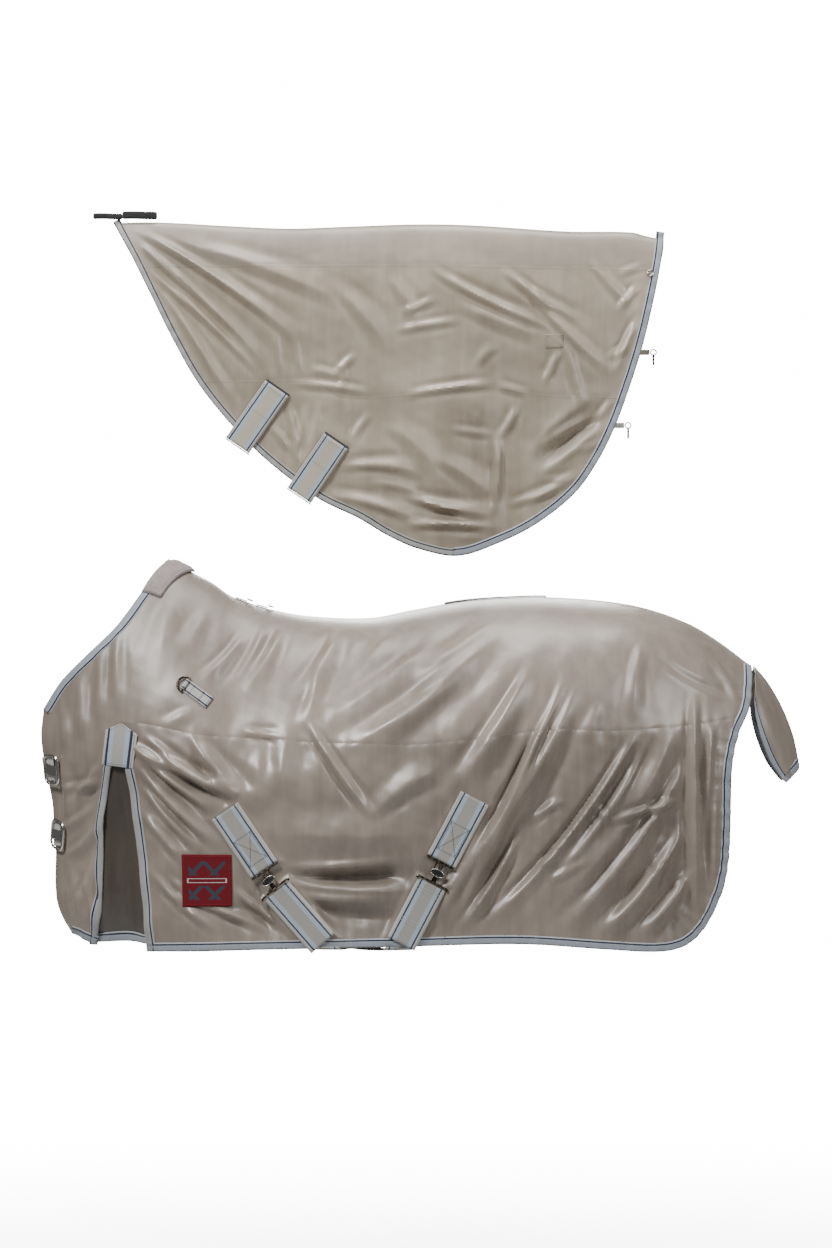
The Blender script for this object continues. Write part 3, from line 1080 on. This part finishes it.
labelCorners = ((-15, -605), (89, -605), (91, -713), (-13, -715))
at, n, uvs = patchGrid(labelCorners, 44, 44, bodyForm, 3.2)
labelPiece = slabPiece("label", at, n, 1.3, uvs, crown=0.3)
finishPiece(labelPiece, "sheet", "red_label", redLabel, "label_patch")
rimPath = [(-11, -609), (85, -609), (87, -709), (-9, -711), (-11, -609)]
stitches("label_stitches", [bodyForm.place(*along(rimPath[i:i + 2], 30).T, 4.9, False)[0] for i in range(4)],
         threadFinish("redThread", rgba(0.30, 0.02, 0.03)), "sheet", "label")


def topSpot(form, x, y, lift):
    def at(x, y):
        peak = smooth(form.peak, x)
        drop = 1 - (1 - np.clip(np.abs(y) / smooth(form.half, x), 0, 0.98) ** peak) ** (1 / peak)
        return np.stack([x, y, smooth(form.ridge, x) - smooth(form.depth, x) * drop], -1)
    n = np.cross(at(x + 2, y) - at(x - 2, y), at(x, y + 2) - at(x, y - 2))
    n /= np.linalg.norm(n, axis=-1)[..., None]
    return at(x, y) + n * np.asarray(lift)[..., None], n


x, y = np.meshgrid(np.linspace(536, 752, 60), np.linspace(21.5, -21.5, 13), indexing="ij")
spots, n = topSpot(bodyForm, x, y, 3.2)
tape = slabPiece("ridge_strip", spots, n, 2.2, np.stack([x * mm, (y + 22) / 44], -1), crown=0.4)
finishPiece(tape, "sheet", "striped_webbing", ridgeWeb, "ridge_tape")


def withersPad():
    t, s = np.meshgrid(np.linspace(-1, 1, 91), np.linspace(0, 1, 33), indexing="ij")
    far = np.abs(t)
    outX, outDrop = -47 - 59 * far, 77 * far ** 1.5
    inX, inDrop = 1 - 66 * far, 82 * far ** 1.5
    x = outX + (inX - outX) * s
    z = smooth(bodyForm.ridge, x) - (outDrop + (inDrop - outDrop) * s)
    base, n = bodyForm.place(x, z, 0.0, False)
    base[..., 1] *= np.where(t > 0, -1, 1)
    n[..., 1] *= np.where(t > 0, -1, 1)
    middle = far < 0.02
    base[middle, 1], n[middle, 1] = 0, 0
    n = n / np.linalg.norm(n, axis=-1)[..., None]
    for _ in range(6):
        n[1:-1] = (n[:-2] + n[1:-1] * 2 + n[2:]) / 4
        n /= np.linalg.norm(n, axis=-1)[..., None]
    edge = np.minimum(1 - far, np.minimum(s, 1 - s) * 0.55)
    puff = 1 - (1 - np.clip(edge / 0.10, 0, 1)) ** 2.4
    seam = np.exp(-((edge - 0.075) / 0.016) ** 2)
    lumps = np.sin(t * 19 + 2 * s) * np.cos(s * 9 + t * 4) * 0.35
    top = 1.6 + 5.4 * puff - 1.8 * seam + lumps * puff
    piece = slabPiece("withers_pad_cover", base + n * 4.6, n, 0.0, np.stack([t, s], -1))
    count = base.shape[0] * base.shape[1]
    flat = (base + n * (4.6 + top)[..., None]).reshape(-1, 3) * mm
    for k in range(count):
        piece.data.vertices[k].co = flat[k]
    return fixNormals(piece)


pad = withersPad()
finishPiece(pad, "sheet", "pad_plush", plush, "withers_pad")
print("patches and pad ready")


# ---- tail flap: an arched tongue, its rim bound in tape ----
def flapSpot(drop, around, lift):
    middleX = smooth(((0, 1192), (0.25, 1222), (0.5, 1252), (0.75, 1276), (1, 1290)), drop)
    middleZ = smooth(((0, -212), (0.25, -248), (0.5, -300), (0.75, -362), (1, -432)), drop)
    edgeX = smooth(((0, 1190), (0.25, 1194), (0.5, 1206), (0.75, 1226), (1, 1258)), drop)
    edgeZ = smooth(((0, -292), (0.25, -330), (0.5, -374), (0.75, -420), (1, -462)), drop)
    half = smooth(((0, 112), (0.5, 108), (1, 84)), drop)
    turn = np.radians(90) * around
    out = np.stack([np.cos(turn) * 0.85, -np.sin(turn), 0.45 * np.cos(turn)], -1)
    out /= np.linalg.norm(out, axis=-1)[..., None]
    spot = np.stack([edgeX + (middleX - edgeX) * np.cos(turn), -half * np.sin(turn),
                     edgeZ + (middleZ - edgeZ) * np.cos(turn)], -1)
    return spot + out * np.asarray(lift)[..., None], out


def tailFlap():
    drop, around = np.meshgrid(np.linspace(0.01, 0.97, 90), np.linspace(-0.95, 0.95, 81), indexing="ij")
    folds = 1.6 * np.sin(around * 9 + 1.0) * drop + 0.9 * np.sin(around * 21 - 3 * drop) * (1 - drop * 0.5)
    spot, n = flapSpot(drop, around, 0.4 + folds * (1 - np.abs(around) ** 6))
    return slabPiece("tail_flap_cloth", spot, n, 1.6, np.stack([around, drop], -1))


def flapTape():
    side = np.linspace(0.0, 0.93, 60)
    bend = np.linspace(0, math.pi / 2, 12)
    drop = np.r_[side, 0.93 + 0.06 * np.sin(bend), np.full(50, 0.99), 0.93 + 0.06 * np.cos(bend), side[::-1]]
    around = np.r_[np.full(60, -0.99), -0.94 - 0.05 * np.cos(bend), np.linspace(-0.92, 0.92, 50),
                   0.94 + 0.05 * np.sin(bend), np.full(60, 0.99)]
    inDrop = np.clip(drop - np.interp(drop, (0.90, 0.99), (0, 0.085)), 0, 1)
    inAround = around * np.interp(np.abs(around), (0.0, 0.90, 0.99), (1.0, 0.96, 0.865))
    shares = np.linspace(0, 1, 9)
    top, back, across = [], [], []
    for f in shares:
        d, a = drop + (inDrop - drop) * f, around + (inAround - around) * f
        lift = 1.4 + 1.5 * (1 - (2 * f - 1) ** 6)
        spot, n = flapSpot(d, a, lift)
        top.append(spot)
        back.append(spot - n * (lift + 1.0))
    ring = np.stack(top[::-1] + back, 1)
    columns = ring.shape[1]
    v = np.r_[shares[::-1], shares]
    steps = np.r_[0, np.cumsum(np.linalg.norm(np.diff(ring[:, 0], axis=0), axis=1))] * mm
    uvs = np.stack(np.broadcast_arrays(steps[:, None], v[None, :]), -1)
    ends = [tuple(range(columns)), tuple((len(ring) - 1) * columns + k for k in range(columns))[::-1]]
    faces = [tuple(f) for f in gridFaces(len(ring), columns, wrap=True)] + ends
    return fixNormals(meshPiece("tail_flap_tape", ring.reshape(-1, 3) * mm, faces, uvs.reshape(-1, 2)))


flapCloth = tailFlap()
finishPiece(flapCloth, "tail_flap", "sheet_cloth", satin, "tail_flap")
finishPiece(flapTape(), "tail_flap", "edge_binding", bindingTape, "tail_flap_binding")
line = np.linspace(0.02, 0.93, 80)
lines = [flapSpot(line, np.full(80, side * 0.885), 4.0)[0] for side in (-1, 1)]
lines.append(flapSpot(np.full(80, 0.925), np.linspace(-0.86, 0.86, 80), 4.0)[0])
stitches("tail_flap_stitches", lines, navyThread, "tail_flap")
print("tail flap ready")


# ---- rings on webbing loops ----
def ringLoop(name, seat, wire, width):
    turn = np.linspace(-math.pi * 0.62, math.pi * 0.5, 18)[::-1]
    wall = wire + 0.3 + 0.8
    hoop = [(wall * math.sin(a), wall * math.cos(a)) for a in turn]
    rows = []
    for u, w in hoop:
        rows.append([(u, v, w) for v in np.linspace(-width / 2, width / 2, 9)])
    grid = np.array([[tuple(seat @ Vector(p)) for p in row] for row in rows])
    n = np.array([[tuple((seat.to_3x3() @ Vector((u, 0, w))).normalized()) for _ in range(9)] for u, w in hoop])
    uvs = np.stack(np.broadcast_arrays(np.linspace(0, 0.02, len(rows))[:, None], np.linspace(0, 1, 9)[None, :]), -1)
    return slabPiece(name, grid, n, 1.3, uvs)


shoulderSeat = seatOn(bodyForm, -10, -252, -36, 7.4)
tab = webOn("left_shoulder_tab", bodyForm, (-8, -253.5), (41, -289), 26, 3.2, 2.2)
pairOf(tab, "right_shoulder_tab", "sheet", "striped_webbing", shoulderWeb, "ring_loops")
sleevePiece = ringLoop("left_shoulder_fold", shoulderSeat, 2.2, 24)
pairOf(sleevePiece, "right_shoulder_fold", "sheet", "striped_webbing", shoulderWeb)
marks = [((share, -0.8), (share, 0.8)) for share in (0.24, 0.62, 0.66, 0.93)]
lines = [lineOn(bodyForm, (-8, -253.5), (41, -289), 26, m, 5.9) for m in marks]
stitches("shoulder_tab_stitches", lines + mirrorLines(lines), navyThread, "sheet", "tab")

for name, x in (("front", 116), ("rear", 160)):
    slope = float(smooth(bodyForm.ridge, x + 4) - smooth(bodyForm.ridge, x - 4)) / 8
    lean = Matrix.Rotation(-math.atan(slope), 4, "Y")
    out = lean @ Vector((0, 0, 1))
    centre = Vector((x, 0, float(smooth(bodyForm.ridge, x)))) + out * 8.1
    seat = Matrix.Translation(centre) @ lean @ Matrix.Rotation(math.pi, 4, "Z")
    finishPiece(ringLoop(name + "_ridge_fold", seat, 1.7, 12), "sheet", "striped_webbing", ridgeWeb)
    gx, gy = np.meshgrid(np.linspace(x - 26, x - 1.5, 12), np.linspace(6, -6, 7), indexing="ij")
    spots, n = topSpot(bodyForm, gx, gy, 3.4)
    foot = slabPiece(name + "_ridge_foot", spots, n, 1.8, np.stack([gx * mm, (gy + 6) / 12], -1))
    finishPiece(foot, "sheet", "striped_webbing", ridgeWeb)
print("rings ready")


# ---- chest closures: billet round the prow, rounded frame, keeper on the webbing ----
closures = {"upper": (-430, -292, -192), "lower": (-569, -279, -202)}


def roundProw(name, level, nearX, farX, half, lift, thick):
    form = bodyForm
    reach = form.begin - float(smooth([(a, b) for a, b in form.front], level))
    ends = [math.asin(((form.begin - x) / reach) ** (form.nose / 2)) for x in (nearX, farX)]
    turn = np.r_[np.linspace(ends[0], math.pi / 2, 50), np.linspace(math.pi / 2, ends[1], 70)[1:]]
    side = np.r_[-np.ones(50), np.ones(69)]
    v = np.linspace(-1, 1, 13)
    z = level + half * v[None, :] + 0 * turn[:, None]
    reach = form.begin - smooth([(a, b) for a, b in form.front], z)
    x = form.begin - reach * np.sin(turn)[:, None] ** (2 / form.nose)
    grid = np.stack([x, side[:, None] * form.width(x, z), z], -1)
    grid[49, :, 1] = 0
    n = np.cross(np.gradient(grid, axis=0), np.gradient(grid, axis=1))
    n /= np.linalg.norm(n, axis=-1)[..., None]
    n *= -np.sign(n[49, 6, 0])
    steps = np.r_[0, np.cumsum(np.linalg.norm(np.diff(grid[:, 6], axis=0), axis=1))] * mm
    uvs = np.stack(np.broadcast_arrays(steps[:, None], (v[None, :] + 1) / 2), -1)
    return slabPiece(name, grid + n * lift, n, thick, uvs, crown=0.3)


for name, (level, x, farX) in closures.items():
    strap = roundProw(name + "_billet", level, x + 4, farX, 25, 3.5, 2.2)
    finishPiece(strap, "sheet", "striped_webbing", plainWebbing)
    if name == "upper":
        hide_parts("chest_billets")
    seat = seatOn(bodyForm, x, level, 5 if name == "upper" else -4, 8.8)
    frameRing = rodPiece(name + "_buckle", moved([(a, b, 0) for a, b in roundRect(53, 61, 15, 9)], seat), 3.1, 14,
                         closed=True, flatten=0.8)
    finishPiece(frameRing, "sheet", "nickel_metal", nickel)
    if name == "upper":
        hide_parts("chest_buckles")
print("closures ready")


# ---- neck cover: folds, cloth, bindings, seams and straps ----
neckPlan = {"columns": 300, "rows": 148, "thick": 1.3}
throats = {"upper": ((180, 378), (96, 257)), "lower": ((305, 266), (227, 151))}
neckFolds = (
    (-150, 734, 227, 480, 15, 10, 10, 0.6), (-139, 709, 171, 408, 15, 8, 10, 0.6),  # from the poll corner
    (-104, 638, 146, 408, 11, 7, 6, 0.6), (-70, 590, 95, 330, 11, 7, 6, 0.6), (-144, 724, -100, 630, 7, 5, 0, 0.6),
    (-120, 690, 40, 520, 9, 5, 4, 0.6), (-27, 526, 70, 350, 8, 5, 4, 0.6), (-60, 700, 330, 560, 22, 6, 8, 0.7),
    (176, 505, 186, 403, 8, 5, 0, 0.6), (217, 495, 228, 403, 8, 5, 0, 0.6), (349, 454, 298, 403, 9, 6, 0, 0.5),
    (329, 430, 314, 366, 8, 5, 0, 0.6), (212, 388, 380, 368, 7, 5, 4, 0.5), (329, 363, 327, 251, 7, 4, 0, 0.6),
    (207, 352, 217, 200, 10, 7, 4, 0.5), (242, 340, 226, 250, 9, 6, 0, 0.6), (270, 350, 262, 260, 8, 5, 0, 0.6),
    (170, 300, 210, 240, 9, 5, 0, 0.6), (380, 330, 330, 260, 9, 5, 0, 0.6), (250, 420, 320, 400, 8, 5, 2, 0.6),
    (314, 210, 482, 200, 15, 7, 8, 0.6), (278, 149, 482, 98, 17, 8, 8, 0.6), (378, 180, 500, 150, 12, 5, 4, 0.6),
    (507, 632, 771, 505, 13, 10, -10, 0.5), (659, 632, 817, 520, 11, 7, -6, 0.5),  # towards the square patch
    (685, 622, 888, 409, 13, 7, -8, 0.6), (441, 536, 520, 570, 8, 6, 0, 0.6), (430, 500, 573, 523, 8, 6, 2, 0.6),
    (781, 464, 746, 383, 9, 7, 0, 0.5), (791, 485, 827, 332, 13, 6, 0, 0.6), (560, 560, 750, 490, 22, 5, -6, 0.7),
    (600, 420, 650, 470, 14, 5, 4, 0.6), (451, 363, 645, 386, 9, 7, 5, 0.5), (645, 386, 715, 366, 8, 6, 0, 0.5),
    (690, 345, 650, 270, 10, 8, 4, 0.5), (650, 280, 642, 109, 10, 10, 2, 0.5), (543, 292, 644, 279, 6, 5, 0, 0.6),
    (725, 205, 898, 348, 26, -10, 4, 0.7), (740, 250, 880, 330, 12, 6, 6, 0.6), (600, 330, 605, 290, 7, 4, 0, 0.6),
    (954, 535, 898, 403, 15, 8, -6, 0.6), (950, 600, 900, 540, 11, 6, 0, 0.6), (930, 470, 880, 440, 9, 6, 0, 0.6),
    (960, 640, 900, 620, 9, 4, 0, 0.6), (900, 360, 850, 300, 10, 6, 0, 0.6), (880, 270, 820, 240, 10, 6, 0, 0.6),
    (847, 652, 929, 551, 13, 6, -4, 0.6), (725, 617, 746, 536, 12, 5, 0, 0.6), (810, 190, 740, 180, 9, 5, 0, 0.6),
    (441, 155, 650, 109, 16, 10, -10, 0.6), (441, 84, 659, 78, 16, 8, 8, 0.6), (670, 129, 837, 200, 12, 6, -6, 0.6),
    (700, 120, 780, 170, 9, 5, 0, 0.6), (520, 230, 630, 150, 22, 6, 6, 0.7), (420, 300, 520, 200, 26, 5, 8, 0.7),
    (560, 60, 640, 66, 9, 5, 0, 0.6), (300, 600, 420, 450, 22, 5, 8, 0.7), (420, 620, 480, 500, 18, 5, 4, 0.7),
)
neckRim = along(neckEdge, 240)
crestSeam = ((-200, 640), (120, 640), (450, 641), (780, 636), (1040, 632))
midSeam = ((-100, 396), (113, 395), (265, 393), (319, 363), (468, 367), (630, 382), (739, 366), (920, 360),
           (1040, 358))


throatPlaces = [(top, low, 60) for top, low in throats.values()]


def neckRelief(x, z):
    x, z = np.broadcast_arrays(np.asarray(x, float), np.asarray(z, float))
    rise = 1.7 * creases(x, z, neckFolds, 1.0) + 0.8 * ripple(x, z, 8)
    gone, place = edgeDistance(x, z, neckRim)
    pucker = np.sin(place / 4.6 + 1.5 * np.sin(place / 31)) * np.exp(-gone / 20) * 1.0
    crest = np.clip((smooth(neckForm.ridge, x) - z) / 60, 0, 1)
    return (rise * np.clip(gone / 45, 0.2, 1) + pucker) * (1 - 0.9 * nearStrap(x, z, throatPlaces, 14.0)) * crest


neckForm.relief = neckRelief


def buildNeck(plan):
    xs = np.linspace(-166, 1003, plan["columns"])
    low = neckEdge[1:]
    angle = np.linspace(0, math.pi / 2, 200)
    columns = []
    for x in xs:
        crest, deep = float(smooth(neckForm.ridge, x)), float(smooth(neckForm.depth, x))
        foot = float(np.interp(x, *zip(*low)))
        z = np.r_[crest - deep * (1 - np.cos(angle)), np.linspace(crest - deep, 0, 300)[1:]]
        y = neckForm.width(np.full(len(z), x), z)
        arc = np.r_[0, np.cumsum(np.hypot(np.diff(y), np.diff(z)))]
        end = np.interp(-foot, -z, arc)
        at = np.linspace(0, end, plan["rows"])
        columns.append(np.stack([np.full(len(at), x), -np.interp(at, arc, y), np.interp(at, arc, z)], 1))
    grid = np.stack(columns)
    normals = gridNormals(grid)
    x, z = grid[..., 0], grid[..., 2]
    rise = neckRelief(x, z)
    for seam in (crestSeam, midSeam):
        gone = np.abs(z - smooth(seam, x))
        rise = rise - 0.7 * np.exp(-(gone / 2.6) ** 2)
    return grid + normals * (rise + 0.8)[..., None], normals


neckGrid, neckNormals = buildNeck(neckPlan)
neckLeft = cutCloth("left_neck_cloth", neckGrid, neckNormals, lambda x, z, row: x > -1e6, neckPlan["thick"])
neckRight = mirrored(neckLeft, "right_neck_cloth")
for side, piece in (("left_", neckLeft), ("right_", neckRight)):
    finishPiece(piece, "neck_cover", "neck_cloth", neckSatin, side + "neck_crest", side + "neck_panel",
                side + "neck_lower")
neckLine = along(neckEdge[1:], 240)
lowest = int(neckLine[:, 1].argmin())
tapePair("neck_tape", neckLine[:lowest + 1], 16, "neck_bindings", neckTape, neckForm, "neck_cover",
         thread=boxThread)
tapePair("neck_rear_tape", neckLine[lowest:], 18, None, bindingTape, neckForm, "neck_cover")
for name, seam in (("crest", crestSeam), ("mid", midSeam)):
    x0, x1 = (-112, 990) if name == "crest" else (22, 922)
    xs = np.linspace(x0, x1, 240)
    lines = [neckForm.place(xs, smooth(seam, xs) + off, 3.0)[0] for off in (-3.5,)]
    stitches("neck_" + name + "_seam", lines + mirrorLines(lines), taupeThread, "neck_cover", "seam")

at, n, uvs = patchGrid(((750, 493), (786, 493), (787, 465), (750, 464)), 24, 24, neckForm, 3.2)
at = at + n * (neckRelief(at[..., 0], at[..., 2]) * 0.6)[..., None]
square = slabPiece("neck_square", at, n, 1.1, uvs)
finishPiece(square, "neck_cover", "neck_cloth", neckSatin, "neck_patch")
corners = [(753, 467), (784, 468), (783, 490), (753, 490), (753, 467)]
lines = [neckForm.place(*along(corners[i:i + 2], 12).T, 5.2, False)[0] for i in range(4)]
crossing = ([(753, 467), (783, 490)], [(784, 468), (753, 490)])
lines += [neckForm.place(*along(p, 12).T, 5.2, False)[0] for p in crossing]
stitches("neck_square_stitches", lines, taupeThread, "neck_cover", "square")


def blockWeb(name, form, start, end, width, lift, thick, body, slotName, material, *nodes):
    return finishPiece(webOn(name, form, start, end, width, lift, thick), body, slotName, material, *nodes)


for name, (top, low) in throats.items():
    body = name + "_throat"
    run = np.array([low[0] - top[0], low[1] - top[1]], float)
    run /= np.linalg.norm(run)
    blockWeb(name + "_throat_webbing", neckForm, top, low, 60, 5.7, 2.2, body, "striped_webbing", throatWebbing,
             name + "_throat_strap")
    blockWeb(name + "_throat_hooks", neckForm, tuple(np.array(top) - run * 5), tuple(np.array(top) + run * 42), 60,
             4.4, 0.8, body, "hook_and_loop", hookTape, name + "_throat_hook_pad")
    marks = (((0.03, -0.93), (0.97, -0.93)), ((0.03, 0.93), (0.97, 0.93)), ((0.06, -0.9), (0.06, 0.9)),
             ((0.45, -0.9), (0.45, 0.9)))
    stitches(name + "_throat_stitches", [lineOn(neckForm, top, low, 60, m, 8.3) for m in marks], taupeThread, body,
             "rim")
    half = float(neckForm.width(np.array(float(low[0])), np.array(float(low[1])))) + 8.1
    across = np.array([run[1], 0, -run[0]])
    t, v = np.meshgrid(np.linspace(-1, 1, 40), np.linspace(-1, 1, 13), indexing="ij")
    bulge = 1.0 - 0.5 * np.abs(t) ** 6
    spots = (np.array([low[0], 0, low[1]]) + np.array([run[0], 0, run[1]]) * bulge[..., None]
             + across * (v * 29.8)[..., None] + np.array([0, 1, 0]) * (t * (half - 0.4))[..., None])
    n = np.broadcast_to(np.array([run[0], 0, run[1]]), spots.shape)
    bridge = slabPiece(name + "_bridge", spots, n, 2.1, np.stack([t * half * mm, (v + 1) / 2], -1))
    finishPiece(bridge, "neck_cover", "striped_webbing", throatWebbing)
    if name == "upper":
        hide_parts("throat_bridges")
print("neck cover ready")


# ---- poll strap, clip tabs and the metal carried over ----
def softBlock(name, low, high, round, body, slotName, material, wave, *nodes):
    (x0, y0, z0), (x1, y1, z1) = low, high
    t = np.linspace(0, 1, 40)
    ring = roundRect(y1 - y0, z1 - z0, round, 4)
    rows = []
    for f in t:
        ends = min(1.0, 0.72 + 0.28 * math.sqrt(min(1, min(f, 1 - f) / 0.05)))
        middleZ = (z0 + z1) / 2 + wave * math.sin(5.5 * f)
        rows.append([(x0 + (x1 - x0) * f, (y0 + y1) / 2 + a * ends, middleZ + b * ends) for a, b in ring])
    verts = [v for row in rows for v in row]
    count = len(ring)
    faces = [tuple(f) for f in gridFaces(len(rows), count, wrap=True)]
    faces += [tuple(range(count)), tuple((len(rows) - 1) * count + k for k in range(count))[::-1]]
    piece = fixNormals(meshPiece(name, np.array(verts) * mm, faces))
    return finishPiece(piece, body, slotName, material, *nodes)


softBlock("poll_block", (-150, -13, 740), (-76, 13, 756), 4, "neck_cover", "hook_and_loop", hookTape, 0.5,
          "poll_pad")
softBlock("poll_end", (-212.3, -13, 740), (-150.3, 13, 752), 4, "poll_strap", "hook_and_loop", hookTape, 0.6,
          "poll_strap")

carried = {
    "bronze_metal": (bronze, ("left_shoulder_ring", "right_shoulder_ring", "front_ridge_ring", "rear_ridge_ring",
                              "surcingle_eyes")),
    "nickel_metal": (nickel, ("upper_chest_tongue", "lower_chest_tongue", "neck_eyelets")),
    "black_fitting": (blackFitting, ("belt_sliders", "upper_neck_clip", "lower_neck_clip")),
    "neck_cloth": (neckSatin, ("clip_tabs",)),
}
for slotName, (material, names) in carried.items():
    for name in names:
        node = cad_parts[name]
        node.data.materials.clear()
        node.data.materials.append(material)
print("metal ready")


# ---- camera, light and floor ----
def lookFrom():
    camera = bpy.data.cameras.new("camera")
    camera.lens, camera.sensor_width = 200, 36
    camera.clip_end = 60
    eye = bpy.data.objects.new("camera", camera)
    bpy.context.scene.collection.objects.link(eye)
    eye.location = (0.475, -14.76, -0.122)
    eye.rotation_euler = (math.pi / 2, 0, 0)
    bpy.context.scene.camera = eye


def lamp(name, kind, spot, aim, energy, size, sizeY=None):
    light = bpy.data.lights.new(name, kind)
    light.energy = energy
    light.shape = "RECTANGLE"
    light.size, light.size_y = size, sizeY or size
    holder = bpy.data.objects.new(name, light)
    bpy.context.scene.collection.objects.link(holder)
    holder.location = spot
    holder.rotation_euler = (Vector(aim) - Vector(spot)).to_track_quat("-Z", "Y").to_euler()


def pureWhite(ambient, seen):
    world = bpy.data.worlds.new("studio")
    bpy.context.scene.world = world
    world.use_nodes = True
    back = world.node_tree.nodes["Background"]
    start = Wire(world.node_tree, None)
    level = start.node("ShaderNodeMapRange", {0: start.node("ShaderNodeLightPath"), 3: ambient, 4: seen})
    world.node_tree.links.new(level.socket, back.inputs["Strength"])
    back.inputs["Color"].default_value = (1, 1, 1, 1)


def paleFloor(level, reach, veil):
    mesh = bpy.data.meshes.new("floor")
    mesh.from_pydata([(-reach, -reach, level), (reach, -reach, level), (reach, reach, level),
                      (-reach, reach, level)], [], [(0, 1, 2, 3)])
    floor = bpy.data.objects.new("floor", mesh)
    bpy.context.scene.collection.objects.link(floor)
    material, shader, start, where = finish("paleFloor", Roughness=0.9)
    shader.inputs["Base Color"].default_value = rgba(0.9, 0.9, 0.9)
    gone = start.node("ShaderNodeVectorMath", {0: where, 1: (0.45, 0.0, level)}, output=1, operation="DISTANCE")
    clear = start.node("ShaderNodeBsdfTransparent")
    mixed = start.node("ShaderNodeMixShader", {0: gone.ease(0.3, 4.0) * (1 - veil) + veil, 2: clear})
    material.node_tree.links.new(shader.outputs[0], mixed.socket.node.inputs[1])
    material.node_tree.links.new(mixed.socket, material.node_tree.nodes["Material Output"].inputs[0])
    mesh.materials.append(material)


lookFrom()
pureWhite(0.10, 16.0)
paleFloor(-1.50, 14.0, 0.45)
lamp("key", "AREA", (-2.4, -3.0, 3.2), (0.45, 0, -0.1), 260, 1.1, 1.1)
lamp("strip", "AREA", (3.2, -2.6, 1.0), (0.9, 0, -0.4), 60, 0.5, 1.6)
lamp("top", "AREA", (0.45, -0.6, 3.4), (0.45, 0, 0), 120, 2.6, 1.2)
lamp("back", "AREA", (0.3, 4.0, 2.2), (0.45, 0, -0.2), 150, 2.0, 1.6)
print("stage ready")
